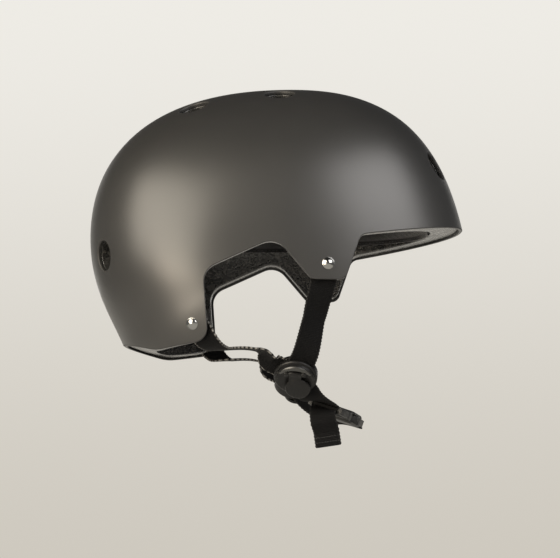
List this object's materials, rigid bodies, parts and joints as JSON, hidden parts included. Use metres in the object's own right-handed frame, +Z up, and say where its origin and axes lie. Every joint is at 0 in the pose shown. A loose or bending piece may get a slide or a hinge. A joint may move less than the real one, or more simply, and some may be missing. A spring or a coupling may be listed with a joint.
{
  "type": "skateboard helmet",
  "caption": "Skate helmet: hard round-vented shell with a short brim and ear tabs, foam liner and pads, Y straps through locking dividers, and a side-release chin buckle.",
  "frame": {"origin": "inside the head cavity, on the helmet's centre plane, at the height of the brim's tip", "axes": "as worn: +X forward, +Y to the wearer's left, +Z up"},
  "size_m": [0.2822, 0.2196, 0.2721],
  "materials": {
    "shell_plastic": "satin black, finely orange-peeled",
    "liner_foam": "expanded bead foam, black",
    "pad_fabric": "brushed knit over soft foam, black",
    "hook_discs": "hook tape, black",
    "rivet_metal": "polished domes",
    "spacer_plastic": "moulded, black",
    "washer_metal": "plated",
    "webbing": "woven polyester, black",
    "divider_plastic": "moulded acetal, fine texture, black",
    "lever_plastic": "moulded acetal, black",
    "pin_metal": "plain pin",
    "buckle_plastic": "moulded acetal, satin, black"
  },
  "bodies": {
    "root": {"outer_shell": "shell_plastic", "eps_liner": "liner_foam", "brow_pad": "pad_fabric", "crown_pad": "pad_fabric", "nape_pad": "pad_fabric", "side_pad_right": "pad_fabric", "side_pad_left": "pad_fabric", "pad_fastener_discs": "hook_discs", "strap_rivets": "rivet_metal", "rivet_spacers": "spacer_plastic", "rivet_washers": "washer_metal", "front_webbing_right": "webbing", "front_webbing_left": "webbing", "rear_webbing_right": "webbing", "rear_webbing_left": "webbing", "divider_housing_right": "divider_plastic", "divider_housing_left": "divider_plastic", "divider_pins": "pin_metal", "chin_strap_right": "webbing", "chin_strap_left": "webbing", "strap_tail": "webbing", "buckle_tongue": "buckle_plastic"},
    "lever_right": {"divider_lever_right": "lever_plastic"},
    "lever_left": {"divider_lever_left": "lever_plastic"},
    "socket": {"buckle_housing": "buckle_plastic"},
    "prong_front": {"prong_front": "buckle_plastic"},
    "prong_rear": {"prong_rear": "buckle_plastic"}
  },
  "joints": [
    {"name": "lever_right_hinge", "type": "hinge", "parent": "root", "child": "lever_right", "pos_m": [0.01231, -0.08024, -0.11141], "axis": [-0.9945, 0.0726, 0.0752], "range_deg": [0, 95]},
    {"name": "lever_left_hinge", "type": "hinge", "parent": "root", "child": "lever_left", "pos_m": [0.01231, 0.08024, -0.11141], "axis": [0.9945, 0.0726, -0.0752], "range_deg": [0, 95]},
    {"name": "buckle_slide", "type": "slide", "parent": "root", "child": "socket", "axis": [0.2899, 0.9481, -0.1305], "range_m": [0, 0.021], "deforming": ["chin_strap_left"]},
    {"name": "prong_front_hinge", "type": "hinge", "parent": "root", "child": "prong_front", "pos_m": [0.05136, -0.0217, -0.13969], "axis": [0.3419, 0.0248, 0.9394], "range_deg": [0, 7], "stiffness_Nm_per_rad": 0.02},
    {"name": "prong_rear_hinge", "type": "hinge", "parent": "root", "child": "prong_rear", "pos_m": [0.03313, -0.01523, -0.13323], "axis": [-0.3419, -0.0248, -0.9394], "range_deg": [0, 7], "stiffness_Nm_per_rad": 0.02}
  ],
  "couplings": [
    {"joint": "prong_rear_hinge", "follows": "prong_front_hinge", "ratio": 1}
  ]
}
